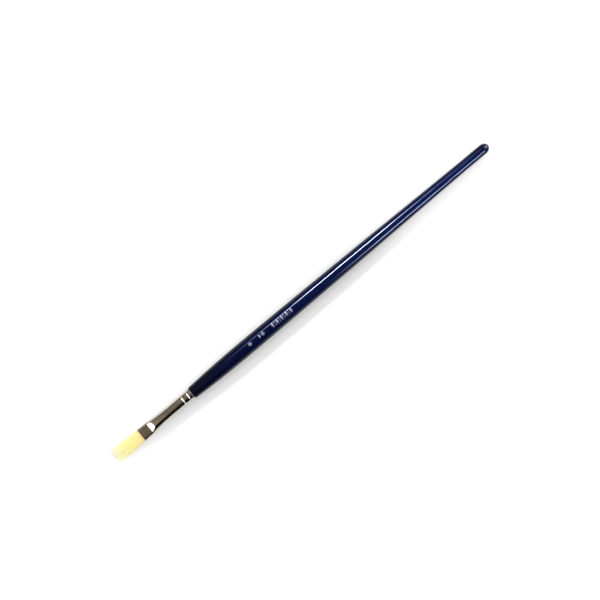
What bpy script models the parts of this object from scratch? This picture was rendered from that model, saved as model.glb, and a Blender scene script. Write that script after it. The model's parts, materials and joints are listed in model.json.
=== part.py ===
"""Flat artist's paint brush: turned handle, pressed metal ferrule and a bristle tuft that flexes.

The brush lies along X, tuft towards -X, with the wide flat of its ferrule facing up.
The origin is on the table under the middle of the length, and the handle's belly touches z = 0.
Every dimension is in millimetres and is turned into metres as the points are made.
"""

import math

import bmesh
import bpy
from mathutils import Vector

MM = 0.001

# Overall layout along the brush
OVERALL_LENGTH = 290.0
TIP_X = -OVERALL_LENGTH / 2
HANDLE_END_X = OVERALL_LENGTH / 2
MOUTH_X = TIP_X + 20.5
SHOULDER_X = MOUTH_X + 39.6
BELLY_RADIUS = 4.95
AXIS_Z = BELLY_RADIUS
GAP = 0.3
HIDDEN_CLEARANCE = 0.2

# Handle: (distance behind the shoulder, radius), then a dome and a bare tenon
HANDLE_LENGTH = HANDLE_END_X - SHOULDER_X
DOME_LENGTH = 3.9
HANDLE_OUTLINE = (
    (0.0, 3.9),
    (20.9, 4.72),
    (38.9, BELLY_RADIUS),
    (77.9, 4.7),
    (132.9, 4.13),
    (179.9, 3.5),
    (HANDLE_LENGTH - DOME_LENGTH, 2.95),
)
HANDLE_RINGS = 30
DOME_RINGS = 6
SHOULDER_ROUND = 0.4
TENON_LENGTH = 19.0
TENON_RADIUS = 2.55
TENON_TIP_RADIUS = 2.2
TENON_TAPER = 2.0
ROUND_STEPS = 40

# Ferrule: (distance behind the mouth, half width, side bulge); a flat clips the bulge near the mouth
FERRULE_OUTLINE = (
    (0.0, 4.18, 2.1),
    (6.5, 4.06, 2.25),
    (9.9, 3.8, 3.1),
    (20.5, 3.5, 3.5),
    (39.3, 3.7, 3.7),
)
FERRULE_LENGTH = 39.3
FERRULE_WALL = 0.3
FLAT_LENGTH = 6.8
FLAT_HALF_THICKNESS = 1.7
FACET_SLOPE = math.radians(28.0)
CRIMPS = (32.8, 36.75)
CRIMP_DEPTH = 0.25
CRIMP_HALF_WIDTH = 0.6
FACET_RINGS = 6
TUBE_RINGS = 7
CRIMP_STEPS = 3
SECTION_POINTS = 48

# Tuft: (distance from the butt end, half width, half thickness, squareness)
BUTT_X = MOUTH_X + 15.5
TUFT_OUTLINE = (
    (0.0, 1.95, 1.95, 2.0),
    (3.4, 1.95, 1.95, 2.0),
    (9.0, 3.3, 1.15, 2.8),
    (15.5, 3.55, 1.15, 3.0),
    (18.0, 3.85, 1.3, 3.0),
    (24.0, 4.2, 1.3, 3.0),
    (31.0, 4.38, 0.95, 3.0),
    (36.0, 4.42, 0.5, 3.0),
)
RING_SPACING = 1.5

# Where the tuft bends: distance from the mouth to each hinge axis
BEND_HINGE = 2.5
SWAY_HINGE = 7.0
TIP_HINGE = 12.5
BEND_RELIEF = math.radians(24.0)
SWAY_RELIEF = math.radians(14.0)
RELIEF_LAND = 0.3

# Hidden pieces inside the ferrule
THREAD_RADIUS = 0.15
THREAD_TURNS = 5
THREAD_PITCH = 0.48
THREAD_START = 0.7
THREAD_POINTS_PER_TURN = 16
RESIN_RADIUS = 2.8
RESIN_THICKNESS = 2.2
RESIN_RIM_WALL = 0.6
RESIN_RIM_DEPTH = 0.35
GLUE_FROM_SHOULDER = 11.0
GLUE_LENGTH = 7.0
GLUE_WALL = 0.22

# Base colour, roughness and metallic of each finish
FINISHES = {
    "navy_lacquer": ((0.008, 0.014, 0.060), 0.12, 0.0),
    "nickel_plate": ((0.58, 0.53, 0.46), 0.24, 1.0),
    "hog_bristle": ((0.90, 0.80, 0.45), 0.55, 0.0),
    "linen_thread": ((0.82, 0.77, 0.66), 0.80, 0.0),
    "epoxy_resin": ((0.55, 0.36, 0.14), 0.30, 0.0),
    "wood_glue": ((0.80, 0.70, 0.48), 0.45, 0.0),
}


def clear_scene():
    for old in list(bpy.data.objects):
        bpy.data.objects.remove(old, do_unlink=True)


def make_collection(name):
    collection = bpy.data.collections.new(name)
    bpy.context.scene.collection.children.link(collection)
    return collection


def make_material(name):
    colour, roughness, metallic = FINISHES[name]
    material = bpy.data.materials.new(name)
    material.use_nodes = True
    shader = material.node_tree.nodes["Principled BSDF"]
    shader.inputs["Base Color"].default_value = (*colour, 1.0)
    shader.inputs["Roughness"].default_value = roughness
    shader.inputs["Metallic"].default_value = metallic
    return material


def follow(outline, place, column):
    """Height of a smooth curve through an outline's points that never overshoots them."""
    xs = [row[0] for row in outline]
    ys = [row[column] for row in outline]
    if place <= xs[0]:
        return ys[0]
    if place >= xs[-1]:
        return ys[-1]
    rises = [(ys[i + 1] - ys[i]) / (xs[i + 1] - xs[i]) for i in range(len(xs) - 1)]
    slopes = [rises[0]]
    for before, after in zip(rises, rises[1:]):
        turning = before * after <= 0.0
        slopes.append(0.0 if turning else 2.0 * before * after / (before + after))
    slopes.append(rises[-1])
    i = max(k for k in range(len(rises)) if xs[k] <= place)
    span = xs[i + 1] - xs[i]
    u = (place - xs[i]) / span
    start = (1.0 + 2.0 * u) * (1.0 - u) ** 2 * ys[i] + u * (1.0 - u) ** 2 * span * slopes[i]
    end = u * u * (3.0 - 2.0 * u) * ys[i + 1] + u * u * (u - 1.0) * span * slopes[i + 1]
    return start + end


def spread(first, last, count):
    return [first + (last - first) * i / (count - 1) for i in range(count)]


def add_object(name, mesh, material, collection):
    mesh.shade_smooth()
    mesh.set_sharp_from_angle(angle=math.radians(35.0))
    mesh.materials.append(material)
    piece = bpy.data.objects.new(name, mesh)
    collection.objects.link(piece)
    return piece


def turned_piece(name, profile, closed, material, collection):
    """Revolves (place along X, radius) points about the brush's axis."""
    mesh = bpy.data.meshes.new(name)
    points = [(radius * MM, 0.0, place * MM) for place, radius in profile]
    edges = [(i, i + 1) for i in range(len(points) - 1)]
    if closed:
        edges.append((len(points) - 1, 0))
    mesh.from_pydata(points, edges, [])
    mesh.materials.append(material)
    piece = bpy.data.objects.new(name, mesh)
    collection.objects.link(piece)
    piece.rotation_euler = (0.0, math.pi / 2, 0.0)
    piece.location = (0.0, 0.0, AXIS_Z * MM)
    screw = piece.modifiers.new("turn", "SCREW")
    screw.axis = "Z"
    screw.steps = ROUND_STEPS
    screw.render_steps = ROUND_STEPS
    screw.use_merge_vertices = True
    screw.merge_threshold = 0.000001
    screw.use_smooth_shade = True
    return piece


def handle_profile():
    """Runs from the dome's pole along the body, round the shoulder and down the tenon."""
    dome_x = HANDLE_END_X - DOME_LENGTH
    dome_radius = HANDLE_OUTLINE[-1][1]
    profile = []
    for i in range(DOME_RINGS):
        turn = math.pi / 2 * i / DOME_RINGS
        profile.append((dome_x + DOME_LENGTH * math.cos(turn), dome_radius * math.sin(turn)))
    for place in spread(HANDLE_LENGTH - DOME_LENGTH, SHOULDER_ROUND, HANDLE_RINGS):
        profile.append((SHOULDER_X + place, follow(HANDLE_OUTLINE, place, 1)))
    shoulder_radius = HANDLE_OUTLINE[0][1]
    corner = SHOULDER_ROUND * (1.0 - math.cos(math.pi / 4))
    profile.append((SHOULDER_X + corner, shoulder_radius - corner))
    profile.append((SHOULDER_X, shoulder_radius - SHOULDER_ROUND))
    profile.append((SHOULDER_X, TENON_RADIUS))
    tenon_end = SHOULDER_X - TENON_LENGTH
    profile.append((tenon_end + TENON_TAPER, TENON_RADIUS))
    profile.append((tenon_end, TENON_TIP_RADIUS))
    profile.append((tenon_end, 0.0))
    return profile


def ferrule_section(behind_mouth):
    """Ellipse whose top and bottom are pressed flat near the mouth and grooved at the crimps."""
    half_width = follow(FERRULE_OUTLINE, behind_mouth, 1)
    bulge = follow(FERRULE_OUTLINE, behind_mouth, 2)
    rise = max(0.0, behind_mouth - FLAT_LENGTH) * math.tan(FACET_SLOPE)
    flat = FLAT_HALF_THICKNESS + rise
    for crimp in CRIMPS:
        away = abs(behind_mouth - crimp) / CRIMP_HALF_WIDTH
        if away < 1.0:
            groove = CRIMP_DEPTH * 0.5 * (1.0 + math.cos(math.pi * away))
            half_width -= groove
            bulge -= groove
    ring = []
    for i in range(SECTION_POINTS):
        turn = 2.0 * math.pi * i / SECTION_POINTS
        height = max(-flat, min(flat, bulge * math.sin(turn)))
        ring.append(Vector((MOUTH_X + behind_mouth, half_width * math.cos(turn), height)))
    return ring


def ferrule_places():
    """Ring places: close together on the facet and in each crimp, wide apart elsewhere."""
    facet_end = FERRULE_OUTLINE[2][0]
    places = [0.0, FLAT_LENGTH / 2] + spread(FLAT_LENGTH, facet_end, FACET_RINGS)
    places += spread(facet_end, CRIMPS[0] - CRIMP_HALF_WIDTH, TUBE_RINGS + 2)[1:-1]
    for crimp in CRIMPS:
        places += spread(crimp - CRIMP_HALF_WIDTH, crimp + CRIMP_HALF_WIDTH, 2 * CRIMP_STEPS + 1)
    places.append(FERRULE_LENGTH)
    return places


def tuft_section(place, relief=0.0, about="Y"):
    """Rounded rectangle across the tuft; a relief slopes it back from its hinge line."""
    half_width = follow(TUFT_OUTLINE, place, 1)
    half_thickness = follow(TUFT_OUTLINE, place, 2)
    power = 2.0 / follow(TUFT_OUTLINE, place, 3)
    ring = []
    for i in range(SECTION_POINTS):
        turn = 2.0 * math.pi * i / SECTION_POINTS
        across = math.copysign(abs(math.cos(turn)) ** power, math.cos(turn)) * half_width
        height = math.copysign(abs(math.sin(turn)) ** power, math.sin(turn)) * half_thickness
        offset = abs(height) if about == "Y" else abs(across)
        ring.append(Vector((BUTT_X - place - offset * math.tan(relief), across, height)))
    return ring


def loft(name, rings, capped, origin, material, collection):
    """Skins a run of equal-sized rings; each cap fans out from the ring's middle or its hinge line."""
    shape = bmesh.new()
    loops = [[shape.verts.new((p - origin) * MM) for p in ring] for ring in rings]
    count = len(loops[0])
    for near, far in zip(loops, loops[1:]):
        for i in range(count):
            j = (i + 1) % count
            shape.faces.new((near[i], near[j], far[j], far[i]))
    if capped:
        for loop, ring, forward in ((loops[0], rings[0], False), (loops[-1], rings[-1], True)):
            middle = Vector((max(point.x for point in ring), 0.0, 0.0))
            hub = shape.verts.new((middle - origin) * MM)
            for i in range(count):
                j = (i + 1) % count
                shape.faces.new((loop[i], loop[j], hub) if forward else (loop[j], loop[i], hub))
    bmesh.ops.recalc_face_normals(shape, faces=shape.faces)
    mesh = bpy.data.meshes.new(name)
    shape.to_mesh(mesh)
    shape.free()
    return add_object(name, mesh, material, collection)


def make_handle(materials, collection):
    return turned_piece("handle", handle_profile(), False, materials["navy_lacquer"], collection)


def make_ferrule(materials, collection):
    rings = [ferrule_section(place) for place in ferrule_places()]
    origin = Vector((MOUTH_X, 0.0, 0.0))
    ferrule = loft("ferrule", rings, False, origin, materials["nickel_plate"], collection)
    ferrule.location = (MOUTH_X * MM, 0.0, AXIS_Z * MM)
    wall = ferrule.modifiers.new("wall", "SOLIDIFY")
    wall.thickness = FERRULE_WALL * MM
    wall.offset = -1.0
    return ferrule


def tuft_length(name, first, last, hinge, relief, about, materials, collection):
    """One length of the tuft, its origin on its hinge axis and its hinge end relieved."""
    count = max(2, 1 + round((last - first) / RING_SPACING))
    places = spread(first, last, count)
    if relief > 0.0:
        reach = follow(TUFT_OUTLINE, first, 1 if about == "Z" else 2)
        clear = first + reach * math.tan(relief) + RELIEF_LAND
        places = [first] + spread(clear, last, count)
    rings = [tuft_section(places[0], relief, about)]
    rings += [tuft_section(place) for place in places[1:]]
    origin = Vector((hinge, 0.0, 0.0))
    return loft(name, rings, True, origin, materials["hog_bristle"], collection)


def make_tuft(materials, collection):
    """Four lengths in a chain: fixed roots, heel, belly and toe."""
    mouth = BUTT_X - MOUTH_X
    tip = BUTT_X - TIP_X
    bend, sway, curl = (mouth + hinge for hinge in (BEND_HINGE, SWAY_HINGE, TIP_HINGE))
    lengths = (
        ("bristle_roots", 0.0, bend - GAP / 2, BUTT_X, 0.0, "Y"),
        ("bristle_heel", bend + GAP / 2, sway - GAP / 2, BUTT_X - bend, BEND_RELIEF, "Y"),
        ("bristle_belly", sway + GAP / 2, curl - GAP / 2, BUTT_X - sway, SWAY_RELIEF, "Z"),
        ("bristle_toe", curl + GAP / 2, tip, BUTT_X - curl, BEND_RELIEF, "Y"),
    )
    previous = None
    for name, first, last, hinge, relief, about in lengths:
        piece = tuft_length(name, first, last, hinge, relief, about, materials, collection)
        if previous is None:
            piece.location = (hinge * MM, 0.0, AXIS_Z * MM)
        else:
            piece.parent = previous
            piece.location = ((hinge - previous_hinge) * MM, 0.0, 0.0)
        previous = piece
        previous_hinge = hinge


def make_root_thread(materials, collection):
    """Binding thread wound round the butt of the bristle bundle."""
    radius = TUFT_OUTLINE[0][1] + HIDDEN_CLEARANCE + THREAD_RADIUS
    curve = bpy.data.curves.new("root_thread", "CURVE")
    curve.dimensions = "3D"
    curve.bevel_depth = THREAD_RADIUS * MM
    curve.bevel_resolution = 2
    curve.use_fill_caps = True
    count = THREAD_TURNS * THREAD_POINTS_PER_TURN + 1
    spline = curve.splines.new("POLY")
    spline.points.add(count - 1)
    for i, point in enumerate(spline.points):
        turn = 2.0 * math.pi * i / THREAD_POINTS_PER_TURN
        along = -THREAD_PITCH * i / THREAD_POINTS_PER_TURN
        place = Vector((along, radius * math.cos(turn), radius * math.sin(turn))) * MM
        point.co = (*place, 1.0)
    curve.materials.append(materials["linen_thread"])
    thread = bpy.data.objects.new("root_thread", curve)
    collection.objects.link(thread)
    thread.location = ((BUTT_X - THREAD_START) * MM, 0.0, AXIS_Z * MM)
    return thread


def make_setting_resin(materials, collection):
    """Cup of resin that holds the butts of the bristles together."""
    back = BUTT_X + GAP + RESIN_THICKNESS
    floor = BUTT_X + GAP
    rim = BUTT_X - RESIN_RIM_DEPTH
    inner = RESIN_RADIUS - RESIN_RIM_WALL
    profile = [(back, 0.0), (back, RESIN_RADIUS), (rim, RESIN_RADIUS), (rim, inner)]
    profile += [(floor, inner), (floor, 0.0)]
    return turned_piece("setting_resin", profile, False, materials["epoxy_resin"], collection)


def make_handle_glue(materials, collection):
    """Sleeve of glue between the tenon and the ferrule."""
    inner = TENON_RADIUS + HIDDEN_CLEARANCE
    outer = inner + GLUE_WALL
    back = SHOULDER_X - GLUE_FROM_SHOULDER
    front = back - GLUE_LENGTH
    profile = [(back, inner), (back, outer), (front, outer), (front, inner)]
    return turned_piece("handle_glue", profile, True, materials["wood_glue"], collection)


def main():
    clear_scene()
    collection = make_collection("paint_brush")
    materials = {name: make_material(name) for name in FINISHES}
    make_handle(materials, collection)
    make_ferrule(materials, collection)
    make_tuft(materials, collection)
    make_root_thread(materials, collection)
    make_setting_resin(materials, collection)
    make_handle_glue(materials, collection)


main()
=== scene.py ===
"""Looks of the flat paint brush: glossy navy handle, pressed nickel ferrule and a tuft of single bristles.

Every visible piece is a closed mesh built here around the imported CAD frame, in metres.
The brush lies along X with its tuft towards -X, and its long axis is one belly radius above the floor.
"""

import json
import math

import bmesh
import bpy
import numpy as np
from mathutils import Matrix, Vector


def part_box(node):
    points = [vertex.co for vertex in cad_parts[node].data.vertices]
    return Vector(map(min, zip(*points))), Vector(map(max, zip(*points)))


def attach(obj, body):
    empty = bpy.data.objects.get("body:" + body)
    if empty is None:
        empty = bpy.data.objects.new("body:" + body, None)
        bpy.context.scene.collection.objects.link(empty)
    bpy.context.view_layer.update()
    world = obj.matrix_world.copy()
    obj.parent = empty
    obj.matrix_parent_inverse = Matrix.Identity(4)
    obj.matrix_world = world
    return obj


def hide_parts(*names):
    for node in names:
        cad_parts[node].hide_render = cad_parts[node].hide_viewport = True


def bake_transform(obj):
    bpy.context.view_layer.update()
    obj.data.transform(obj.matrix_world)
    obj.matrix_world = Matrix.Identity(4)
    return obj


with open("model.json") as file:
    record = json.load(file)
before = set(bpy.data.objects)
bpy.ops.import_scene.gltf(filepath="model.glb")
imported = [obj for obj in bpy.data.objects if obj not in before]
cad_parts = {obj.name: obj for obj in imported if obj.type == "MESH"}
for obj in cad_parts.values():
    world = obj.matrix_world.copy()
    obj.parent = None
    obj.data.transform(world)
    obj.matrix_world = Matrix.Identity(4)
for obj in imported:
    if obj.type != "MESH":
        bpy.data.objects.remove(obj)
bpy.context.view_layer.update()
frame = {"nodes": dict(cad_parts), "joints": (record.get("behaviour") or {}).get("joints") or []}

MM = 0.001
SEED = 11

# Places read from the CAD frame
HANDLE_LOW, HANDLE_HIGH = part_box("handle")
FERRULE_LOW, FERRULE_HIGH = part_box("ferrule")
TIP_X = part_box("bristle_toe")[0].x
BUTT_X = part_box("bristle_roots")[1].x
MOUTH_X = FERRULE_LOW.x
FERRULE_END_X = FERRULE_HIGH.x
HANDLE_END_X = HANDLE_HIGH.x
TENON_END_X = HANDLE_LOW.x
AXIS_Z = (HANDLE_HIGH.z + HANDLE_LOW.z) / 2
HINGE_X = {joint["name"]: joint["pos_m"][0] for joint in frame["joints"]}

# Handle, in metres
HANDLE_SIDES = 128
DOME_LENGTH = 3.9 * MM
DOME_RINGS = 20
DOME_TIP_SHARE = 0.02
SHOULDER_ROUND = 0.45 * MM
SHOULDER_CLEARANCE = 0.06 * MM
SHOULDER_RINGS = 8
SHOULDER_FACE_SHARES = (0.55, 0.8)
HANDLE_STEP = 1.2 * MM
TENON_SIDES = 64
TENON_RINGS = 16
TENON_EDGE = 0.5 * MM
TENON_TAPER = 2.0 * MM
TENON_CHAMFER = 0.15 * MM

# Foil marks: places in metres behind the ferrule, and lifts off the lacquer in mm
FOIL_LOZENGE_X = 45.4 * MM
FOIL_LEAF_X = 52.6 * MM
FOIL_SECOND_LOZENGE_X = 55.3 * MM
FOIL_ROW_START = 63.0 * MM
FOIL_ROW_PITCH = 1.75 * MM
FOIL_ROW_COUNT = 9
FOIL_DOTS_ACROSS = (-1.0, 0.0, 1.0)
FOIL_LIFT = 0.022
FOIL_EDGE_LIFT = 0.006
FOIL_COLUMNS = 7
FOIL_ROWS = 17

# Ferrule: (mm behind the mouth, half width, side bulge), as on the CAD ferrule
FERRULE_OUTLINE = (
    (0.0, 4.18, 2.1),
    (6.5, 4.06, 2.25),
    (9.9, 3.8, 3.1),
    (20.5, 3.5, 3.5),
    (39.3, 3.7, 3.7),
)
FERRULE_LENGTH = (FERRULE_END_X - MOUTH_X) / MM
FERRULE_WALL = 0.3
FLAT_LENGTH = 6.8
FLAT_HALF_THICKNESS = 1.7
FLAT_HALF_WIDTH = 4.1
FLAT_CROWN = 0.22
FACET_SLOPE = math.radians(28.0)
FACET_SHARPNESS = 9.0
PRESS_SHARPNESS = 15.0
CRIMPS = (32.8, 36.75)
CRIMP_DEPTH = 0.17
CRIMP_HALF_WIDTH = 0.40
CRIMP_JAWS = 8
CRIMP_JAW_SHARE = 0.10
FERRULE_SIDES = 160
LIP_RINGS = 9

# Grime with painted shade on the ferrule, at its lips, in its crimps and in its bore: (level, reach in mm)
MOUTH_SHADE_AND_GRIME = (0.85, 0.45)
BACK_SHADE_AND_GRIME = (0.8, 0.35)
CRIMP_SHADE_AND_GRIME = (0.25, 0.15)
BORE_SHADE_AND_GRIME = 0.3

# Tuft: (mm ahead of the mouth, half width, half thickness, squareness)
TUFT_OUTLINE = (
    (-15.5, 1.90, 1.90, 2.0),
    (-12.1, 1.90, 1.90, 2.0),
    (-6.5, 3.30, 1.20, 2.6),
    (0.0, 3.74, 1.32, 2.9),
    (2.5, 3.94, 1.40, 2.9),
    (8.5, 4.20, 1.34, 2.8),
    (15.5, 4.38, 0.98, 2.7),
    (20.5, 4.42, 0.52, 2.6),
)
TUFT_LENGTH = (MOUTH_X - TIP_X) / MM
ROOT_LENGTH = (BUTT_X - MOUTH_X) / MM
STRANDS = 880
STRAND_SIDES = 5
STRAND_RADIUS = 0.074
STRAND_RADIUS_SPREAD = 0.10
STRAND_TIP_SHARE = 0.58
STRAND_SHORTFALL = 0.028
STRAND_WANDER = 0.10
STRAND_WAVE = 0.05
STRAND_LIFT = 0.07
CLUMPS = 34
CLUMP_PULL = 0.26
STRAY_SHARE = 0.03
STRAY_ACROSS = 0.35
STRAY_UP = 0.30
CUT_EDGE = 0.012

# Flags, the split ends of the bristles: three stations along each branch
FLAGS_PER_STRAND = 2
FLAG_SIDES = 3
FLAG_LENGTHS = (0.6, 1.15)
FLAG_STEPS = (-0.9, -0.2, 0.5)
FLAG_SPREAD = (0.0, 0.05, 0.13)
FLAG_SIDE_SHARES = (0, 1, 0.6)
FLAG_TAPER = (0.8, 0.6, 0.25)
FLAG_PLACES = (0.96, 0.99, 1.0)

# Binding thread, in mm
THREAD_START = 0.7
THREAD_TURNS = 5
THREAD_STEPS_PER_TURN = 40
THREAD_SIDES = 8
THREAD_PITCH = 0.48
THREAD_PLY_RADIUS = 0.085
THREAD_PLY_OFFSET = 0.8 * THREAD_PLY_RADIUS
THREAD_PLY_TWIST = 6.0
THREAD_COIL_RADIUS = 2.25

# Levels along the brush: (metres along X, level)
# Painted light and shade in the lacquer's colour: darkest near the ferrule, lightest towards the handle's
# end
LACQUER_LIGHT_AND_SHADE_GRADES = (
    (-0.085, 0.11), (-0.060, 0.20), (-0.040, 0.30), (0.0, 0.42), (0.045, 0.44),
    (0.070, 0.55), (0.095, 0.74), (0.120, 0.76), (0.145, 0.50),
)
KEY_GRADES = (
    (-0.150, 0.45), (-0.134, 0.58), (-0.118, 0.84), (-0.100, 1.0), (0.036, 1.0),
    (0.057, 0.86), (0.072, 0.70), (0.090, 0.58), (0.119, 0.50), (0.150, 0.30),
)
UPPER_STRIP_GRADES = (
    (-0.16, 0.0), (-0.09, 0.03), (-0.05, 0.08), (-0.01, 0.17), (0.013, 0.39),
    (0.027, 0.66), (0.042, 0.78), (0.065, 0.85), (0.09, 0.98), (0.155, 1.0),
    (0.178, 0.43), (0.20, 0.21), (0.225, 0.11), (0.26, 0.05), (0.30, 0.0),
)
LOWER_STRIP_GRADES = (
    (0.05, 0.0), (0.07, 0.04), (0.085, 0.12), (0.10, 0.27), (0.125, 0.52),
    (0.145, 0.84), (0.17, 0.86), (0.20, 0.74), (0.34, 0.74),
)

# Lamp colours
GLINT_COLOUR = (0.8, 0.8, 1.0)
UPPER_STRIP_COLOUR = (0.68, 0.78, 1.0)
LOWER_STRIP_COLOUR = (0.57, 0.69, 1.0)

# Floor, in metres: its glow makes up for KEY_SHARE of the light that the key loses, and grows far away
FLOOR_HALF = 3.0
FLOOR_DROP = 0.00002
FLOOR_COLOUR = (0.68, 0.68, 0.68, 1.0)
FLOOR_GLOW = 0.08
FLOOR_FADE_START = 0.20
FLOOR_FADE_END = 0.90
KEY_SHARE = 0.45
KEY_DISTANCE = 2.2

# World: colours by height over a tilted horizon, and levels by place along the brush
DARK_EDGE = math.radians(54)
WORLD_SIDE_STOPS = (
    (0.09, (0.004, 0.003, 0.002)),
    (0.18, (0.38, 0.31, 0.24)),
    (0.60, (0.50, 0.42, 0.33)),
    (1.00, (0.44, 0.38, 0.32)),
)
WORLD_END_STOPS = (
    (0.39, (0.80, 0.80, 0.80)),
    (0.47, (0.10, 0.10, 0.10)),
    (0.53, (0.10, 0.10, 0.10)),
    (0.72, (0.30, 0.30, 0.30)),
)
WORLD_FILL = (0.24, 0.24, 0.25)
WORLD_SEEN = (0.97, 0.97, 0.98, 1.0)

# Camera: straight above, turned about the view's axis
VIEW_WIDTH = 0.3578
LENS = 100.0
SENSOR = 36.0
BRUSH_ANGLE = math.radians(39.93)
AIM = Vector((-0.0002, 0.00115, AXIS_Z))

rng = np.random.default_rng(SEED)


def follow(outline, places, column):
    """Height of a smooth curve through an outline's points that never overshoots them."""
    xs = np.array([row[0] for row in outline], float)
    ys = np.array([row[column] for row in outline], float)
    rises = np.diff(ys) / np.diff(xs)
    product = rises[:-1] * rises[1:]
    total = rises[:-1] + rises[1:]
    inner = np.where(product > 0, 2 * product / np.where(total == 0, 1, total), 0)
    slopes = np.concatenate(([rises[0]], inner, [rises[-1]]))
    places = np.clip(np.asarray(places, float), xs[0], xs[-1])
    i = np.clip(np.searchsorted(xs, places, side="right") - 1, 0, len(rises) - 1)
    span = xs[i + 1] - xs[i]
    u = (places - xs[i]) / span
    near = (1 + 2 * u) * (1 - u) ** 2 * ys[i] + u * (1 - u) ** 2 * span * slopes[i]
    far = u * u * (3 - 2 * u) * ys[i + 1] + u * u * (u - 1) * span * slopes[i + 1]
    return near + far


# ---------------------------------------------------------------- mesh helpers

def make_piece(name, points, faces, material):
    """A smooth closed mesh with its faces turned outwards, riding on the handle's body."""
    mesh = bpy.data.meshes.new(name)
    mesh.from_pydata([tuple(p) for p in points], [], [tuple(f) for f in faces])
    shape = bmesh.new()
    shape.from_mesh(mesh)
    bmesh.ops.recalc_face_normals(shape, faces=shape.faces)
    shape.to_mesh(mesh)
    shape.free()
    mesh.shade_smooth()
    mesh.materials.append(material)
    piece = bpy.data.objects.new(name, mesh)
    bpy.context.scene.collection.objects.link(piece)
    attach(piece, "brush_body")
    return piece


def ring_faces(rings, sides, closed):
    """Quads that skin a run of equal rings; a closed run joins its last ring to its first."""
    here = np.arange(rings if closed else rings - 1)[:, None]
    side = np.arange(sides)[None, :]
    after = (here + 1) % rings
    beside = (side + 1) % sides
    corners = (here * sides + side, here * sides + beside, after * sides + beside, after * sides + side)
    return np.stack(corners, -1).reshape(-1, 4).tolist()


def add_attribute(piece, name, values):
    """Stores one number for each point, for the piece's material to read."""
    attribute = piece.data.attributes.new(name, "FLOAT", "POINT")
    attribute.data.foreach_set("value", np.asarray(values, np.float32).ravel())


def turned_points(profile, sides):
    """Rings of points round the brush's axis for (x, radius) pairs."""
    turns = np.linspace(0, 2 * math.pi, sides, endpoint=False)
    x, radius = np.array(profile, float).T
    rings = np.empty((len(x), sides, 3))
    rings[..., 0] = x[:, None]
    rings[..., 1] = radius[:, None] * np.cos(turns)
    rings[..., 2] = AXIS_Z + radius[:, None] * np.sin(turns)
    return rings


def turned_piece(name, profile, sides, material):
    """Revolves a profile that starts and ends beside the axis, and closes both ends with a fan."""
    rings = turned_points(profile, sides).reshape(-1, 3)
    centres = [(profile[0][0], 0, AXIS_Z), (profile[-1][0], 0, AXIS_Z)]
    points = np.concatenate([rings, centres])
    faces = ring_faces(len(profile), sides, False)
    first, last = len(points) - 2, len(points) - 1
    start = (len(profile) - 1) * sides
    for i in range(sides):
        faces.append((i, (i + 1) % sides, first))
        faces.append((start + i, start + (i + 1) % sides, last))
    return make_piece(name, points, faces, material)


# ---------------------------------------------------------------- node helpers

def add_node(tree, kind, settings=None, **inputs):
    """Adds a shader node. A keyword names an input, or is i0, i1 and so on for its number."""
    node = tree.nodes.new(kind)
    for key, value in (settings or {}).items():
        setattr(node, key, value)
    for key, value in inputs.items():
        numbered = key[0] == "i" and key[1:].isdigit()
        socket = node.inputs[int(key[1:]) if numbered else key.replace("_", " ")]
        if isinstance(value, bpy.types.NodeSocket):
            tree.links.new(value, socket)
        else:
            socket.default_value = value
    return node


def new_material(name):
    """A material, its node tree and its main shader."""
    material = bpy.data.materials.new(name)
    material.use_nodes = True
    tree = material.node_tree
    return material, tree, tree.nodes["Principled BSDF"]


def wire(tree, source, node, name):
    """Joins a socket to a node's named input."""
    tree.links.new(source, node.inputs[name])


def place_socket(tree, scale):
    """Object coordinates in metres times a scale for each axis."""
    coords = add_node(tree, "ShaderNodeTexCoord")
    stretch = add_node(tree, "ShaderNodeMapping", Vector=coords.outputs["Object"])
    stretch.inputs["Scale"].default_value = scale
    return stretch.outputs["Vector"]


def noise(tree, scale, detail=3.0, roughness=0.5, distortion=0.0):
    """Noise socket; scale gives features per metre along each axis."""
    vector = place_socket(tree, scale)
    node = add_node(tree, "ShaderNodeTexNoise", Vector=vector, Scale=1.0, Detail=detail,
                    Roughness=roughness, Distortion=distortion)
    return node.outputs["Fac"]


def ramp(tree, source, stops):
    """Colour ramp socket for (position, colour) stops."""
    node = add_node(tree, "ShaderNodeValToRGB", Fac=source)
    elements = node.color_ramp.elements
    while len(elements) < len(stops):
        elements.new(0.5)
    for element, (position, colour) in zip(elements, stops):
        element.position = position
        element.color = (*colour, 1.0) if len(colour) == 3 else colour
    return node.outputs["Color"]


def graded(tree, x, stops):
    """Grey level that changes along the brush, for (metres along X, level) stops."""
    grades = [(0.0, stops[0][1])] + [(place + 0.5, level) for place, level in stops] + [(1.0, stops[-1][1])]
    return ramp(tree, math_node(tree, "ADD", x, 0.5), [(place, (level,) * 3) for place, level in grades])


def remap(tree, source, low, high, to_low, to_high):
    """Moves a value from one range to another, and stops at its ends."""
    node = add_node(tree, "ShaderNodeMapRange", Value=source, From_Min=low, From_Max=high,
                    To_Min=to_low, To_Max=to_high)
    return node.outputs["Result"]


def mix(tree, amount, first, second, mode="MIX"):
    """Mixes two colours, each given as a socket or as three numbers."""
    node = add_node(tree, "ShaderNodeMix", {"data_type": "RGBA", "blend_type": mode})
    for index, value in ((0, amount), (6, first), (7, second)):
        if isinstance(value, bpy.types.NodeSocket):
            tree.links.new(value, node.inputs[index])
        else:
            node.inputs[index].default_value = value if index == 0 else (*value, 1.0)
    return node.outputs[2]


def math_node(tree, operation, first, second=0.0):
    """Result of a sum on two numbers or sockets."""
    node = add_node(tree, "ShaderNodeMath", {"operation": operation}, i0=first, i1=second)
    return node.outputs[0]


def bump(tree, height, strength, distance, normal=None):
    """Normal bent by a height, on top of another normal if there is one."""
    node = add_node(tree, "ShaderNodeBump", Height=height, Strength=strength, Distance=distance)
    if normal is not None:
        tree.links.new(normal, node.inputs["Normal"])
    return node.outputs["Normal"]


# ---------------------------------------------------------------- materials

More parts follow.
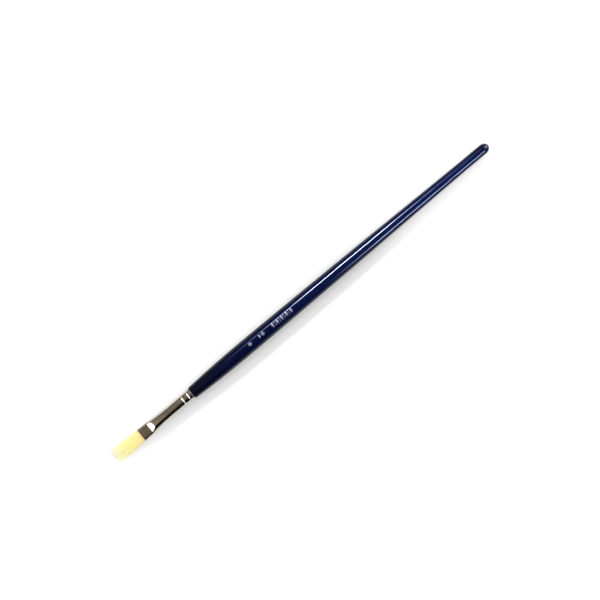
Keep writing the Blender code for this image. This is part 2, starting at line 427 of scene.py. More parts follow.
def lacquer_material():
    """Navy gloss lacquer with painted light and shade: darker near the ferrule and where it turns away from
    the view, lighter towards the handle's end; with orange peel and dust.
    """
    material, tree, shader = new_material("navy_lacquer_look")
    clouds = noise(tree, (45, 45, 45), detail=4)
    colour = mix(tree, remap(tree, clouds, 0.3, 0.7, 0, 1), (0.0035, 0.0090, 0.066), (0.0060, 0.0150, 0.100))
    coords = add_node(tree, "ShaderNodeTexCoord")
    split = add_node(tree, "ShaderNodeSeparateXYZ", Vector=coords.outputs["Object"])
    # Painted light and shade along the handle, darkest near the ferrule
    colour = mix(tree, 1.0, colour, graded(tree, split.outputs["X"], LACQUER_LIGHT_AND_SHADE_GRADES), "MULTIPLY")
    # Painted shade: the colour darkens towards the silhouette, where the lacquer turns away from the view
    edge_shade = add_node(tree, "ShaderNodeLayerWeight", Blend=0.5).outputs["Facing"]
    colour = mix(tree, remap(tree, edge_shade, 0.15, 0.55, 0.0, 0.7), colour, (0.0005, 0.0006, 0.001))
    grain = noise(tree, (70, 1600, 1600), detail=2)
    peel = noise(tree, (800, 800, 800), detail=2)
    dust = noise(tree, (2600, 2600, 2600), detail=1)
    speck = math_node(tree, "MULTIPLY", remap(tree, dust, 0.74, 0.80, 0, 1), 0.25)
    wire(tree, mix(tree, speck, colour, (0.10, 0.11, 0.16)), shader, "Base Color")
    scuff = noise(tree, (120, 420, 420), detail=6, roughness=0.65)
    wire(tree, remap(tree, scuff, 0.45, 0.75, 0.10, 0.24), shader, "Roughness")
    normal = bump(tree, grain, 0.10, 0.00003)
    normal = bump(tree, peel, 0.14, 0.00004, normal)
    wire(tree, normal, shader, "Normal")
    shader.inputs["Specular IOR Level"].default_value = 0.05
    shader.inputs["Coat Weight"].default_value = 0.5
    shader.inputs["Coat Roughness"].default_value = 0.035
    shader.inputs["Coat IOR"].default_value = 1.45
    coat_normal = bump(tree, peel, 0.05, 0.00003)
    wire(tree, coat_normal, shader, "Coat Normal")
    return material


def nickel_material():
    """Satin nickel plating: lengthwise drawing streaks, warm tarnish, and grime with painted shade at its
    lips, crimps and bore.
    """
    material, tree, shader = new_material("nickel_plate_look")
    streaks = noise(tree, (35, 5200, 5200), detail=3, roughness=0.6)
    fine = noise(tree, (160, 15000, 15000), detail=2)
    tarnish = noise(tree, (180, 420, 420), detail=5, roughness=0.6)
    shade_and_grime = add_node(tree, "ShaderNodeAttribute", {"attribute_name": "shade_and_grime"}).outputs["Fac"]
    colour = mix(tree, remap(tree, streaks, 0.32, 0.68, 0, 1), (0.58, 0.52, 0.44), (0.76, 0.70, 0.61))
    colour = mix(tree, remap(tree, tarnish, 0.42, 0.75, 0, 0.30), colour, (0.38, 0.31, 0.22))
    shade_and_dirt = math_node(tree, "MULTIPLY", shade_and_grime, remap(tree, tarnish, 0.25, 0.6, 0.6, 1.0))
    # Grime and painted shade darken the plating at the lips, in the crimps and in the bore
    wire(tree, mix(tree, shade_and_dirt, colour, (0.045, 0.036, 0.022)), shader, "Base Color")
    shader.inputs["Metallic"].default_value = 1.0
    drawn = remap(tree, streaks, 0.42, 0.72, 0.06, 0.22)
    rough = math_node(tree, "ADD", drawn, math_node(tree, "MULTIPLY", shade_and_dirt, 0.35))
    wire(tree, rough, shader, "Roughness")
    normal = bump(tree, streaks, 0.12, 0.00003)
    normal = bump(tree, fine, 0.06, 0.00001, normal)
    wire(tree, normal, shader, "Normal")
    return material


def bristle_material():
    """Cream hog bristle: golden where it leaves the ferrule, pale and translucent at the flagged tips."""
    material, tree, shader = new_material("hog_bristle_look")
    along = add_node(tree, "ShaderNodeAttribute", {"attribute_name": "along"}).outputs["Fac"]
    shade = add_node(tree, "ShaderNodeAttribute", {"attribute_name": "shade"}).outputs["Fac"]
    stops = (
        (0.00, (0.62, 0.40, 0.14)),
        (0.42, (0.93, 0.74, 0.32)),
        (0.52, (1.00, 0.86, 0.40)),
        (0.70, (1.00, 0.93, 0.40)),
        (0.86, (1.00, 0.97, 0.55)),
        (1.00, (1.00, 0.99, 0.80)),
    )
    colour = ramp(tree, along, stops)
    mottle = noise(tree, (900, 4000, 4000), detail=2)
    darker = mix(tree, 1.0, colour, (0.80, 0.66, 0.42), "MULTIPLY")
    colour = mix(tree, remap(tree, shade, 0.0, 1.0, 0.0, 0.22), colour, darker)
    colour = mix(tree, remap(tree, mottle, 0.4, 0.7, 0.0, 0.12), colour, darker)
    wire(tree, colour, shader, "Base Color")
    wire(tree, remap(tree, mottle, 0.3, 0.7, 0.38, 0.55), shader, "Roughness")
    shader.inputs["Specular IOR Level"].default_value = 0.4
    shader.inputs["Sheen Weight"].default_value = 0.15
    scales = noise(tree, (9000, 2500, 2500), detail=1)
    wire(tree, bump(tree, scales, 0.15, 0.00001), shader, "Normal")
    return material


def wood_material():
    """Bare turned hardwood of the tenon: fine straight grain with open pores."""
    material, tree, shader = new_material("bare_wood_look")
    grain = noise(tree, (60, 1100, 1100), detail=6, roughness=0.6, distortion=0.6)
    pores = noise(tree, (260, 5200, 5200), detail=2)
    stops = ((0.25, (0.36, 0.21, 0.10)), (0.5, (0.55, 0.36, 0.19)), (0.75, (0.66, 0.47, 0.27)))
    colour = ramp(tree, grain, stops)
    colour = mix(tree, remap(tree, pores, 0.58, 0.68, 0, 0.55), colour, (0.16, 0.08, 0.035))
    wire(tree, colour, shader, "Base Color")
    wire(tree, remap(tree, grain, 0.3, 0.7, 0.55, 0.72), shader, "Roughness")
    wire(tree, bump(tree, pores, 0.5, 0.00008, bump(tree, grain, 0.3, 0.0001)), shader, "Normal")
    return material


def foil_material():
    """Thin silver hot foil: bright, slightly crackled, worn through in places to a dull violet grey."""
    material, tree, shader = new_material("silver_foil_look")
    wear = noise(tree, (1500, 1500, 1500), detail=5, roughness=0.7)
    crackle = noise(tree, (6000, 6000, 6000), detail=2)
    stops = ((0.35, (0.47, 0.48, 0.60)), (0.6, (0.30, 0.30, 0.42)), (0.8, (0.09, 0.09, 0.16)))
    colour = ramp(tree, wear, stops)
    wire(tree, colour, shader, "Base Color")
    wire(tree, remap(tree, wear, 0.4, 0.8, 0.95, 0.35), shader, "Metallic")
    wire(tree, remap(tree, crackle, 0.3, 0.7, 0.18, 0.42), shader, "Roughness")
    wire(tree, bump(tree, crackle, 0.25, 0.00002), shader, "Normal")
    return material


def thread_material():
    """Waxed linen thread: fibres wound along each ply."""
    material, tree, shader = new_material("linen_thread_look")
    fibre = noise(tree, (9000, 3000, 3000), detail=4, roughness=0.7)
    colour = ramp(tree, fibre, ((0.3, (0.52, 0.45, 0.33)), (0.7, (0.84, 0.79, 0.67))))
    wire(tree, colour, shader, "Base Color")
    wire(tree, remap(tree, fibre, 0.3, 0.7, 0.65, 0.9), shader, "Roughness")
    wire(tree, bump(tree, fibre, 0.6, 0.00003), shader, "Normal")
    return material


def resin_material():
    """Amber epoxy with cloudy depth and a slightly rippled, shiny surface."""
    material, tree, shader = new_material("epoxy_resin_look")
    cloud = noise(tree, (500, 500, 500), detail=5, roughness=0.6)
    ripple = noise(tree, (900, 900, 900), detail=2)
    colour = ramp(tree, cloud, ((0.3, (0.36, 0.19, 0.05)), (0.7, (0.66, 0.43, 0.15))))
    wire(tree, colour, shader, "Base Color")
    wire(tree, remap(tree, cloud, 0.3, 0.7, 0.12, 0.30), shader, "Roughness")
    wire(tree, bump(tree, ripple, 0.4, 0.0001), shader, "Normal")
    shader.inputs["Subsurface Weight"].default_value = 0.3
    shader.inputs["Subsurface Scale"].default_value = 0.0008
    return material


def glue_material():
    """Dried wood glue: yellowish, with small bubbles and streaks where the tenon was pushed in."""
    material, tree, shader = new_material("wood_glue_look")
    smear = noise(tree, (300, 1500, 1500), detail=4, roughness=0.6)
    bubbles = noise(tree, (3500, 3500, 3500), detail=1)
    colour = ramp(tree, smear, ((0.3, (0.60, 0.48, 0.27)), (0.7, (0.80, 0.72, 0.50))))
    colour = mix(tree, remap(tree, bubbles, 0.65, 0.72, 0, 0.6), colour, (0.95, 0.92, 0.80))
    wire(tree, colour, shader, "Base Color")
    wire(tree, remap(tree, smear, 0.3, 0.7, 0.3, 0.6), shader, "Roughness")
    wire(tree, bump(tree, bubbles, 0.4, 0.00006), shader, "Normal")
    return material


# ---------------------------------------------------------------- handle

def cad_outline(node, low_x, high_x):
    """(x, largest radius) of each ring of a turned CAD node between two places."""
    widest = {}
    for vertex in frame["nodes"][node].data.vertices:
        x, y, z = vertex.co
        if low_x <= x <= high_x:
            key = round(x, 6)
            widest[key] = max(widest.get(key, 0.0), math.hypot(y, z - AXIS_Z))
    return sorted(widest.items())


def handle_profile():
    """From the face that meets the ferrule, over a rounded shoulder, along the body and round the dome."""
    shoulder_x = FERRULE_END_X + SHOULDER_CLEARANCE
    dome_x = HANDLE_END_X - DOME_LENGTH
    body = cad_outline("handle", shoulder_x + SHOULDER_ROUND, dome_x)
    shoulder_radius = float(follow(body, shoulder_x + SHOULDER_ROUND, 1))
    dome_radius = body[-1][1]
    profile = [(shoulder_x, share * shoulder_radius) for share in SHOULDER_FACE_SHARES]
    for i in range(SHOULDER_RINGS):
        turn = math.pi / 2 * i / SHOULDER_RINGS
        x = shoulder_x + SHOULDER_ROUND * (1 - math.cos(turn))
        profile.append((x, shoulder_radius - SHOULDER_ROUND * (1 - math.sin(turn))))
    steps = round((dome_x - shoulder_x) / HANDLE_STEP)
    for x in np.linspace(shoulder_x + SHOULDER_ROUND, dome_x, steps):
        profile.append((x, float(follow(body, x, 1))))
    for i in range(1, DOME_RINGS):
        turn = math.pi / 2 * i / DOME_RINGS
        profile.append((dome_x + DOME_LENGTH * math.sin(turn), dome_radius * math.cos(turn)))
    profile.append((HANDLE_END_X, DOME_TIP_SHARE * dome_radius))
    return profile


def tenon_profile():
    """From the handle's shoulder, along the straight tenon, down its taper and round its chamfered end."""
    radii = [radius for _, radius in cad_outline("handle", TENON_END_X, FERRULE_END_X - MM)]
    radius, end_radius = max(radii), min(radii)
    start = FERRULE_END_X + 2 * SHOULDER_CLEARANCE
    profile = [(start, 0.2 * radius), (start, 0.9 * radius), (start, radius)]
    straight = np.linspace(start - TENON_EDGE, TENON_END_X + TENON_TAPER, TENON_RINGS)
    profile += [(x, radius) for x in straight]
    profile += [(TENON_END_X + TENON_CHAMFER, end_radius), (TENON_END_X, end_radius - TENON_CHAMFER)]
    profile += [(TENON_END_X, 0.5 * end_radius), (TENON_END_X, 0.05 * end_radius)]
    return profile


def make_handle():
    """Lacquered body, and the bare tenon that the ferrule hides."""
    body = turned_piece("handle_body", handle_profile(), HANDLE_SIDES, lacquer_material())
    tenon = turned_piece("handle_tenon", tenon_profile(), TENON_SIDES, wood_material())
    for piece in (body, tenon):
        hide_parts("handle")


# ---------------------------------------------------------------- foil marks

def wrap_on_handle(x, across, lift):
    """Points on the handle's upper side: x along it, arc length across it, and height off the lacquer."""
    outline = cad_outline("handle", FERRULE_END_X + MM, HANDLE_END_X - DOME_LENGTH)
    radius = follow(outline, x, 1)
    turn = math.pi / 2 - across / radius
    reach = radius + lift
    return np.stack([x, reach * np.cos(turn), AXIS_Z + reach * np.sin(turn)], -1)


def foil_patch(centre_x, shape):
    """Points and faces of a thin closed patch; shape maps a grid of u and v in -1..1 to x and arc in mm."""
    u, v = np.meshgrid(np.linspace(-1, 1, FOIL_COLUMNS), np.linspace(-1, 1, FOIL_ROWS))
    x, across = shape(u, v)
    x = centre_x + x * MM
    on_edge = np.maximum(np.abs(u), np.abs(v)) > 0.99
    top = wrap_on_handle(x, across * MM, np.where(on_edge, FOIL_EDGE_LIFT, FOIL_LIFT) * MM)
    bottom = wrap_on_handle(x, across * MM, -FOIL_LIFT * MM)
    points = np.concatenate([top.reshape(-1, 3), bottom.reshape(-1, 3)])
    count = FOIL_COLUMNS * FOIL_ROWS
    grid = np.arange(count).reshape(FOIL_ROWS, FOIL_COLUMNS).tolist()
    faces = []
    for j in range(FOIL_ROWS - 1):
        for i in range(FOIL_COLUMNS - 1):
            quad = (grid[j][i], grid[j][i + 1], grid[j + 1][i + 1], grid[j + 1][i])
            faces.append(quad)
            faces.append(tuple(reversed([k + count for k in quad])))
    right_side = [row[-1] for row in grid[1:]]
    left_side = [row[0] for row in grid[-2:0:-1]]
    rim = grid[0] + right_side + grid[-1][-2::-1] + left_side
    for a, b in zip(rim, rim[1:] + rim[:1]):
        faces.append((b, a, a + count, b + count))
    return points, faces


def leaf(width, height):
    """Shape of a rounded patch: half width along the handle and half height across it, in mm."""
    def shape(u, v):
        swell = 0.12 + 0.88 * (1 - v ** 2)
        return width * u * swell, height * v
    return shape


def lozenge(width, height, offset=0.0):
    """Shape of a diamond patch: half width, half height and offset across the handle, in mm."""
    def shape(u, v):
        return width * u * (1.02 - np.abs(v)), offset + height * v
    return shape


def foil_row():
    """A row of tall lozenges with stacks of small ones between them."""
    marks = []
    for i in range(FOIL_ROW_COUNT):
        place = FERRULE_END_X + FOIL_ROW_START + i * FOIL_ROW_PITCH
        if i % 2 == 0:
            marks.append((place, lozenge(0.78, 1.65)))
        else:
            marks += [(place, lozenge(0.34, 0.34, offset)) for offset in FOIL_DOTS_ACROSS]
    return marks


def make_foil_marks():
    """Generic foil ornament: a lozenge, then a leaf beside a lozenge, then a row."""
    foil = foil_material()
    marks = {
        "foil_lozenge": [(FERRULE_END_X + FOIL_LOZENGE_X, lozenge(1.3, 1.15))],
        "foil_pair": [
            (FERRULE_END_X + FOIL_LEAF_X, leaf(0.42, 1.35)),
            (FERRULE_END_X + FOIL_SECOND_LOZENGE_X, lozenge(1.25, 1.35)),
        ],
        "foil_row": foil_row(),
    }
    for name, patches in marks.items():
        points, faces = [], []
        for centre_x, shape in patches:
            more_points, more_faces = foil_patch(centre_x, shape)
            faces += [tuple(k + len(points) for k in face) for face in more_faces]
            points += list(more_points)
        piece = make_piece(name, points, faces, foil)


# ---------------------------------------------------------------- ferrule

def crimp_groove(place, turns):
    """Depth of the rolled grooves in mm, with the dimples of the crimping jaws."""
    depth = np.zeros_like(turns)
    for crimp in CRIMPS:
        away = abs(place - crimp) / CRIMP_HALF_WIDTH
        jaws = 1 + CRIMP_JAW_SHARE * np.cos(CRIMP_JAWS * turns)
        if away < 1:
            depth += CRIMP_DEPTH * jaws * 0.5 * (1 + math.cos(math.pi * away))
    return depth


def ferrule_ring(place, inset):
    """Cross-section in mm: an ellipse pressed flat near the mouth, moved inwards by inset."""
    turns = np.linspace(0, 2 * math.pi, FERRULE_SIDES, endpoint=False)
    groove = crimp_groove(place, turns)
    half_width = follow(FERRULE_OUTLINE, place, 1) - inset - groove
    bulge = follow(FERRULE_OUTLINE, place, 2) - inset - groove
    past_flat = np.log1p(np.exp((place - FLAT_LENGTH) * FACET_SHARPNESS)) / FACET_SHARPNESS
    rise = past_flat * math.tan(FACET_SLOPE)
    across = half_width * np.cos(turns)
    flat = FLAT_HALF_THICKNESS + rise - inset - FLAT_CROWN * (across / FLAT_HALF_WIDTH) ** 2
    height = bulge * np.sin(turns)
    reach = np.maximum(np.abs(height), 1e-6)
    pressed = (reach ** -PRESS_SHARPNESS + flat ** -PRESS_SHARPNESS) ** (-1 / PRESS_SHARPNESS)
    height = np.sign(height) * np.minimum(pressed, reach)
    along = np.full_like(turns, MOUTH_X / MM + place)
    return np.stack([along, across, AXIS_Z / MM + height], -1) * MM


def ferrule_places():
    """Ring places in mm behind the mouth, closer together at the press facet and the crimps."""
    runs = [(0.35, 6.0, 12), (6.15, 10.6, 40), (11.0, CRIMPS[0] - 1.7, 44)]
    runs += [(crimp - 1.5, crimp + 1.5, 41) for crimp in CRIMPS]
    runs.append((CRIMPS[1] + 1.65, FERRULE_LENGTH - 0.3, 4))
    return sorted(place for start, end, count in runs for place in np.linspace(start, end, count))


def ferrule_stations():
    """(place, inset) of each ring in mm: outer skin, rolled back lip, bore and rolled mouth lip."""
    places = ferrule_places()
    lip = FERRULE_WALL / 2
    turns = np.linspace(0, math.pi, LIP_RINGS)
    stations = [(place, 0.0) for place in places]
    stations += [(FERRULE_LENGTH - lip + lip * math.sin(t), lip - lip * math.cos(t)) for t in turns]
    stations += [(place, FERRULE_WALL) for place in reversed(places)]
    stations += [(lip - lip * math.sin(t), lip + lip * math.cos(t)) for t in turns]
    return stations


def shade_and_grime_level(place, inset):
    """How much grime and painted shade a ring of the ferrule gets: most at its two lips, and some in the
    crimps and the bore.
    """
    spots = [(place, MOUTH_SHADE_AND_GRIME), (FERRULE_LENGTH - place, BACK_SHADE_AND_GRIME)]
    spots += [(place - crimp, CRIMP_SHADE_AND_GRIME) for crimp in CRIMPS]
    shade_and_grime = sum(level * math.exp(-((away / reach) ** 2)) for away, (level, reach) in spots)
    if inset > FERRULE_WALL / 2:
        shade_and_grime += BORE_SHADE_AND_GRIME
    return min(shade_and_grime, 1.0)


def make_ferrule():
    """One closed shell of pressed tube, with its grime and painted shade stored on its points."""
    stations = ferrule_stations()
    rings = np.array([ferrule_ring(place, inset) for place, inset in stations])
    faces = ring_faces(len(stations), FERRULE_SIDES, True)
    piece = make_piece("ferrule_shell", rings.reshape(-1, 3), faces, nickel_material())
    shade_and_grime = [shade_and_grime_level(place, inset) for place, inset in stations]
    add_attribute(piece, "shade_and_grime", np.repeat(shade_and_grime, FERRULE_SIDES))
    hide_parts("ferrule")


# ---------------------------------------------------------------- tuft

def spread_over_disc(count):
    """Evenly spread, jittered places in a unit disc, as (radius, turn) pairs on a sunflower spiral."""
    index = np.arange(count) + 0.5
    radius = np.sqrt(index / count) + rng.normal(0, 0.006, count)
    turn = index * math.pi * (3 - math.sqrt(5)) + rng.normal(0, 0.03, count)
    return np.clip(radius, 0.01, 0.995), turn


def strand_lines(ahead):
    """Centre line of every strand, as x, y and z at stations given in mm ahead of the mouth.

    Strands draw together into clumps, wander and wave towards their tips, and a few stray.
    """
    radius, turn = spread_over_disc(STRANDS)
    half_width = follow(TUFT_OUTLINE, ahead, 1)
    half_thickness = follow(TUFT_OUTLINE, ahead, 2)
    power = follow(TUFT_OUTLINE, ahead, 3)
    cosine, sine = np.cos(turn)[:, None], np.sin(turn)[:, None]
    reach = radius[:, None] * (np.abs(cosine) ** power + np.abs(sine) ** power) ** (-1 / power)
    y = reach * cosine * half_width
    z = reach * sine * half_thickness
    free = np.clip(ahead / TUFT_LENGTH, 0, 1)
    clump_y = rng.uniform(-1, 1, CLUMPS)
    clump_of = np.argmin(np.abs(y[:, -1:] / half_width[-1] - clump_y[None, :]), 1)
    y = y + (clump_y[clump_of][:, None] * half_width - y) * CLUMP_PULL * free ** 2
    sideways, wave, phase, upwards = rng.normal(0, 1, (STRANDS, 4)).T[:, :, None]
    y += STRAND_WANDER * sideways * free ** 1.5
    y += STRAND_WAVE * wave * np.sin(5 * free + 2 * phase) * free
    z += STRAND_LIFT * upwards * free ** 1.5
    stray = rng.random(STRANDS) < STRAY_SHARE
    y[stray] += rng.normal(0, STRAY_ACROSS, stray.sum())[:, None] * free ** 2
    z[stray] += rng.normal(0, STRAY_UP, stray.sum())[:, None] * free ** 2
    length = 1 - np.abs(rng.normal(0, STRAND_SHORTFALL, STRANDS))[:, None] * free
    x = MOUTH_X / MM - ahead[None, :] * length
    return np.stack([x, y, AXIS_Z / MM + z], -1) * MM


def tube_mesh(lines, radii, sides):
    """Closed tubes round many lines at once. Returns points, faces, and how many points each tube has."""
    count, stations = lines.shape[:2]
    turns = np.linspace(0, 2 * math.pi, sides, endpoint=False) + 0.3
    points = np.repeat(lines[:, :, None, :], sides, 2)
    points[..., 1] += radii[:, :, None] * np.cos(turns)
    points[..., 2] += radii[:, :, None] * np.sin(turns)
    points = points.reshape(-1, 3)
    per_tube = stations * sides
    one = np.array(ring_faces(stations, sides, False))[:, ::-1]
    quads = (one[None] + (np.arange(count) * per_tube)[:, None, None]).reshape(-1, 4).tolist()
    caps = []
    for start in range(0, count * per_tube, per_tube):
        caps.append(list(range(start, start + sides)))
        caps.append(list(range(start + per_tube - 1, start + per_tube - sides - 1, -1)))
    return points, quads, caps


def tube_piece(name, lines, radii, sides, along, shade, material):
    """A piece of many closed tubes, smooth along their sides and flat on their cut ends."""
    points, quads, caps = tube_mesh(lines, radii, sides)
    mesh = bpy.data.meshes.new(name)
    mesh.from_pydata([tuple(p) for p in points], [], quads + caps)
    smooth = np.ones(len(mesh.polygons), bool)
    smooth[len(quads):] = False
    mesh.polygons.foreach_set("use_smooth", smooth)
    mesh.materials.append(material)
    piece = bpy.data.objects.new(name, mesh)
    bpy.context.scene.collection.objects.link(piece)
    add_attribute(piece, "along", np.repeat(along, sides, -1))
    add_attribute(piece, "shade", np.repeat(np.broadcast_to(shade[:, None], radii.shape), sides, -1))
    return piece


def make_flags(ends, radii, shade, material):
    """The split ends of the bristles: fine branches from each tip."""
    tips = np.repeat(ends[:, 1], FLAGS_PER_STRAND, 0)
    heading = np.repeat(ends[:, 1] - ends[:, 0], FLAGS_PER_STRAND, 0)
    heading /= np.linalg.norm(heading, axis=1)[:, None]
    count = len(tips)
    side = rng.normal(0, 1, (count, 3)) * FLAG_SIDE_SHARES
    length = rng.uniform(*FLAG_LENGTHS, (count, 1, 1))
    lines = tips[:, None] + heading[:, None] * np.array(FLAG_STEPS)[None, :, None] * length * MM
    lines += side[:, None] * np.array(FLAG_SPREAD)[None, :, None] * MM
    thick = np.repeat(radii[:, 1], FLAGS_PER_STRAND)[:, None] * np.array(FLAG_TAPER)[None, :]
    along = np.broadcast_to(np.array(FLAG_PLACES), (count, len(FLAG_PLACES)))
    shade = np.repeat(shade, FLAGS_PER_STRAND)
    return tube_piece("bristle_flags", lines, thick, FLAG_SIDES, along, shade, material)


def bend_between(piece):
    """Bakes a bristle piece's placement into its points."""
    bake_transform(piece)


def make_tuft():
    """Bristles in three lengths that meet at cuts placed by the hinges of the chain."""
    material = bristle_material()
    hinges = [(MOUTH_X - HINGE_X[name]) / MM for name in ("tuft_bend", "tuft_sway", "tip_bend")]
    first_cut = 2 * hinges[0]
    second_cut = 2 * hinges[1] - first_cut
    # Each length: its two bodies, its two ends and its stations, all in mm ahead of the mouth
    lengths = {
        "bristles_roots_to_heel": ("brush_body", "tuft_heel", -ROOT_LENGTH, first_cut, 16),
        "bristles_heel_to_belly": ("tuft_heel", "tuft_belly", first_cut, second_cut, 5),
        "bristles_belly_to_toe": ("tuft_belly", "tuft_toe", second_cut, TUFT_LENGTH, 9),
    }
    stations = [np.linspace(low, high, count) for _, _, low, high, count in lengths.values()]
    stations += [np.array([low + CUT_EDGE, high - CUT_EDGE]) for _, _, low, high, _ in lengths.values()]
    ahead = np.unique(np.concatenate(stations).round(6))
    lines = strand_lines(ahead)
    free = np.clip(ahead / TUFT_LENGTH, 0, 1)
    thickness = 1 + rng.normal(0, STRAND_RADIUS_SPREAD, STRANDS)[:, None]
    radii = STRAND_RADIUS * MM * thickness * (1 - (1 - STRAND_TIP_SHARE) * free ** 1.6)[None, :]
    shade = rng.random(STRANDS)
    along = np.broadcast_to((ahead + ROOT_LENGTH) / (TUFT_LENGTH + ROOT_LENGTH), radii.shape)
    for name, (near, far, low, high, _) in lengths.items():
        keep = (ahead > low - CUT_EDGE / 2) & (ahead < high + CUT_EDGE / 2)
        strands = (lines[:, keep], radii[:, keep], STRAND_SIDES, along[:, keep])
        piece = tube_piece(name, *strands, shade, material)
        bend_between(piece)
    flags = make_flags(lines[:, -2:], radii[:, -2:], shade, material)
    bend_between(flags)
    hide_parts("bristle_roots", "bristle_heel")
    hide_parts("bristle_belly")
    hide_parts("bristle_toe")


# ---------------------------------------------------------------- hidden pieces

def make_thread():
    """Two twisted plies wound round the butts of the bristles."""
    steps = THREAD_TURNS * THREAD_STEPS_PER_TURN
    angle = np.linspace(0, 2 * math.pi * THREAD_TURNS, steps)
    turns = np.linspace(0, 2 * math.pi, THREAD_SIDES, endpoint=False)[None, :, None]
    forward = np.array([1.0, 0, 0])
    outward = np.stack([np.zeros(steps), np.cos(angle), np.sin(angle)], -1)[:, None]
    centre_x = BUTT_X / MM - THREAD_START - THREAD_PITCH * angle / (2 * math.pi)
    points, faces = [], []
    for ply in range(2):
        twist = THREAD_PLY_TWIST * angle + math.pi * ply
        reach = THREAD_COIL_RADIUS + THREAD_PLY_OFFSET * np.cos(twist)
        x = centre_x + THREAD_PLY_OFFSET * np.sin(twist)
        line = np.stack([x, reach * np.cos(angle), AXIS_Z / MM + reach * np.sin(angle)], -1)
        rings = line[:, None] + THREAD_PLY_RADIUS * (outward * np.cos(turns) + forward * np.sin(turns))
        base = len(points)
        end = base + steps * THREAD_SIDES
        points += list(rings.reshape(-1, 3) * MM)
        faces += [[k + base for k in face] for face in ring_faces(steps, THREAD_SIDES, False)]
        faces += [list(range(base, base + THREAD_SIDES)), list(range(end - THREAD_SIDES, end))]
    piece = make_piece("binding_thread", points, faces, thread_material())
    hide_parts("root_thread")


def dress_cad_node(node, material):
    """Gives a carried-over CAD node its detailed material."""
    materials = frame["nodes"][node].data.materials
    materials.clear()
    materials.append(material)


# ---------------------------------------------------------------- stage, light and camera

def make_floor():
    """Plain white table that reads as evenly lit paper, and fades to white far away."""
    material, tree, shader = new_material("white_floor")
    shader.inputs["Base Color"].default_value = FLOOR_COLOUR
    shader.inputs["Roughness"].default_value = 0.9
    shader.inputs["Specular IOR Level"].default_value = 0.0
    shader.inputs["Emission Color"].default_value = (1.0, 1.0, 1.0, 1.0)
    geometry = add_node(tree, "ShaderNodeNewGeometry")
    split = add_node(tree, "ShaderNodeSeparateXYZ", Vector=geometry.outputs["Position"])
    shortfall = math_node(tree, "SUBTRACT", 1.0, graded(tree, split.outputs["X"], KEY_GRADES))
    away = add_node(tree, "ShaderNodeVectorMath", {"operation": "LENGTH"}, i0=geometry.outputs["Position"])
    distant = remap(tree, away.outputs["Value"], FLOOR_FADE_START, FLOOR_FADE_END, 0.0, 1.0)
    extra = math_node(tree, "ADD", math_node(tree, "MULTIPLY", shortfall, KEY_SHARE), distant)
    path = add_node(tree, "ShaderNodeLightPath")
    extra = math_node(tree, "MULTIPLY", extra, path.outputs["Is Camera Ray"])
    wire(tree, math_node(tree, "ADD", extra, FLOOR_GLOW), shader, "Emission Strength")
    corners = [(x * FLOOR_HALF, y * FLOOR_HALF, 0) for x, y in ((-1, -1), (1, -1), (1, 1), (-1, 1))]
    mesh = bpy.data.meshes.new("floor")
    mesh.from_pydata(corners, [], [(0, 1, 2, 3)])
    mesh.materials.append(material)
    floor = bpy.data.objects.new("floor", mesh)
    bpy.context.scene.collection.objects.link(floor)
    floor.location.z = -FLOOR_DROP


def add_light(name, side_angle, along, distance, size, power, colour=(1, 1, 1),
              glossy=True, diffuse=True, lean=0.0):
    """An area light aimed at the brush's axis, or with lean 1 at its middle.

    side_angle runs in degrees from the +Y side over the top to the -Y side. size is the lamp's extent
    along the brush, then across it.
    """
    data = bpy.data.lights.new(name, "AREA")
    data.shape = "RECTANGLE"
    data.size, data.size_y = size
    data.energy = power
    data.color = colour
    lamp = bpy.data.objects.new(name, data)
    bpy.context.scene.collection.objects.link(lamp)
    angle = math.radians(side_angle)
    place = Vector((along, distance * math.cos(angle), distance * math.sin(angle)))
    target = Vector((along * (1 - lean), 0, 0))
    back = (place - target).normalized()
    right = Vector((1, 0, 0)) if abs(back.x) < 0.9 else Vector((0, 1, 0))
    up = back.cross(right).normalized()
    right = up.cross(back).normalized()
    lamp.matrix_world = Matrix.Translation(place) @ Matrix((right, up, back)).transposed().to_4x4()
    lamp.visible_glossy = glossy
    lamp.visible_diffuse = diffuse
    lamp.visible_camera = False
    return lamp


def make_world():
    """Pale to the camera; in reflections a dim warm room, black low down over the -Y side."""
    world = bpy.data.worlds.new("studio")
    bpy.context.scene.world = world
    world.use_nodes = True
    tree = world.node_tree
    tree.nodes.clear()
    coords = add_node(tree, "ShaderNodeTexCoord")
    split = add_node(tree, "ShaderNodeSeparateXYZ", Vector=coords.outputs["Generated"])
    upness = math_node(tree, "MULTIPLY", split.outputs["Z"], math.cos(DARK_EDGE))
    sideness = math_node(tree, "MULTIPLY", split.outputs["Y"], math.sin(DARK_EDGE))
    height = math_node(tree, "ADD", upness, sideness)
    shade = ramp(tree, height, WORLD_SIDE_STOPS)
    endness = remap(tree, split.outputs["X"], -1.0, 1.0, 0.0, 1.0)
    shade = mix(tree, 1.0, shade, ramp(tree, endness, WORLD_END_STOPS), "MULTIPLY")
    path = add_node(tree, "ShaderNodeLightPath")
    shade = mix(tree, path.outputs["Is Diffuse Ray"], shade, WORLD_FILL)
    seen = add_node(tree, "ShaderNodeBackground", Color=WORLD_SEEN, Strength=1.0).outputs[0]
    felt = add_node(tree, "ShaderNodeBackground", Color=shade, Strength=1.0).outputs[0]
    either = add_node(tree, "ShaderNodeMixShader", Fac=path.outputs["Is Camera Ray"], i1=felt, i2=seen)
    add_node(tree, "ShaderNodeOutputWorld", Surface=either.outputs[0])


def grade_strip(lamp, stops):
    """Makes a strip's brightness change along its length."""
    lamp.data.use_nodes = True
    tree = lamp.data.node_tree
    emission = tree.nodes["Emission"]
    geometry = add_node(tree, "ShaderNodeNewGeometry")
    split = add_node(tree, "ShaderNodeSeparateXYZ", Vector=geometry.outputs["Position"])
    tree.links.new(graded(tree, split.outputs["X"], stops), emission.inputs["Strength"])


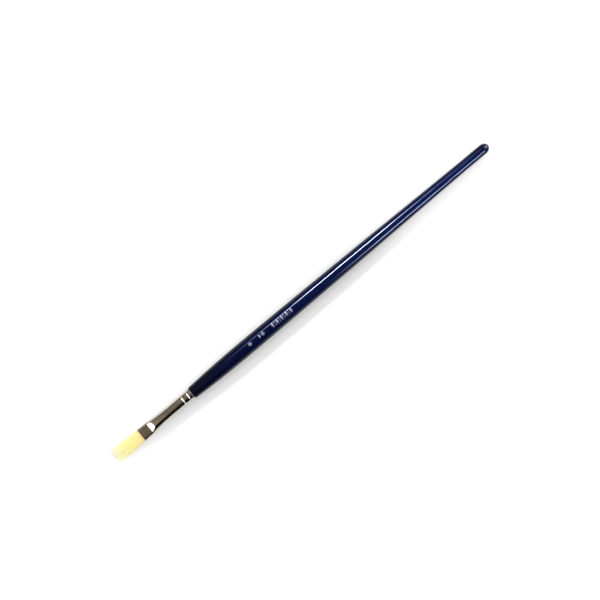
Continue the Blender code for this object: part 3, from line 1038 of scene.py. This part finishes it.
def narrow_key(lamp):
    """Barn doors: the key's light fades towards both ends of the brush."""
    lamp.data.use_nodes = True
    tree = lamp.data.node_tree
    geometry = add_node(tree, "ShaderNodeNewGeometry")
    split = add_node(tree, "ShaderNodeSeparateXYZ", Vector=geometry.outputs["Incoming"])
    reach = math_node(tree, "MULTIPLY", split.outputs["X"], KEY_DISTANCE)
    tree.links.new(graded(tree, reach, KEY_GRADES), tree.nodes["Emission"].inputs["Strength"])


def make_lights():
    """Softboxes beyond both ends, a fill and a key from above, a glint, and two strips for the lacquer."""
    add_light("tuft_end_softbox", 75, -0.80, 0.65, (0.70, 1.7), 9.2, lean=1.0)
    add_light("handle_end_softbox", 75, 0.95, 0.80, (0.80, 1.7), 9.0, lean=1.0)
    add_light("end_glint", 90, 1.0, 0.33, (0.60, 0.60), 17.0, GLINT_COLOUR, diffuse=False, lean=1.0)
    add_light("ceiling_fill", 90, 0.0, 1.8, (2.2, 2.2), 14.6, glossy=False)
    key = add_light("shadow_key", 43, 0.0, KEY_DISTANCE, (0.06, 0.26), 21.5, glossy=False)
    narrow_key(key)
    upper = add_light("upper_strip", 52.5, 0.09, 1.0, (0.50, 0.11), 34.5, UPPER_STRIP_COLOUR, diffuse=False)
    lower = add_light("lower_strip", 145, 0.20, 1.0, (0.34, 0.10), 13.0, LOWER_STRIP_COLOUR, diffuse=False)
    grade_strip(upper, UPPER_STRIP_GRADES)
    grade_strip(lower, LOWER_STRIP_GRADES)


def make_camera():
    """A long lens straight above, turned so that the brush runs from lower left to upper right."""
    data = bpy.data.cameras.new("camera")
    data.lens = LENS
    data.sensor_width = SENSOR
    data.clip_start = 0.01
    camera = bpy.data.objects.new("camera", data)
    bpy.context.scene.collection.objects.link(camera)
    camera.location = AIM + Vector((0, 0, LENS * VIEW_WIDTH / SENSOR))
    camera.rotation_euler = (0, 0, -BRUSH_ANGLE)
    bpy.context.scene.camera = camera


make_handle()
make_foil_marks()
make_ferrule()
make_tuft()
make_thread()
dress_cad_node("setting_resin", resin_material())
dress_cad_node("handle_glue", glue_material())
make_floor()
make_world()
make_lights()
make_camera()
bpy.context.scene.view_settings.view_transform = "Standard"
bpy.context.scene.view_settings.look = "None"
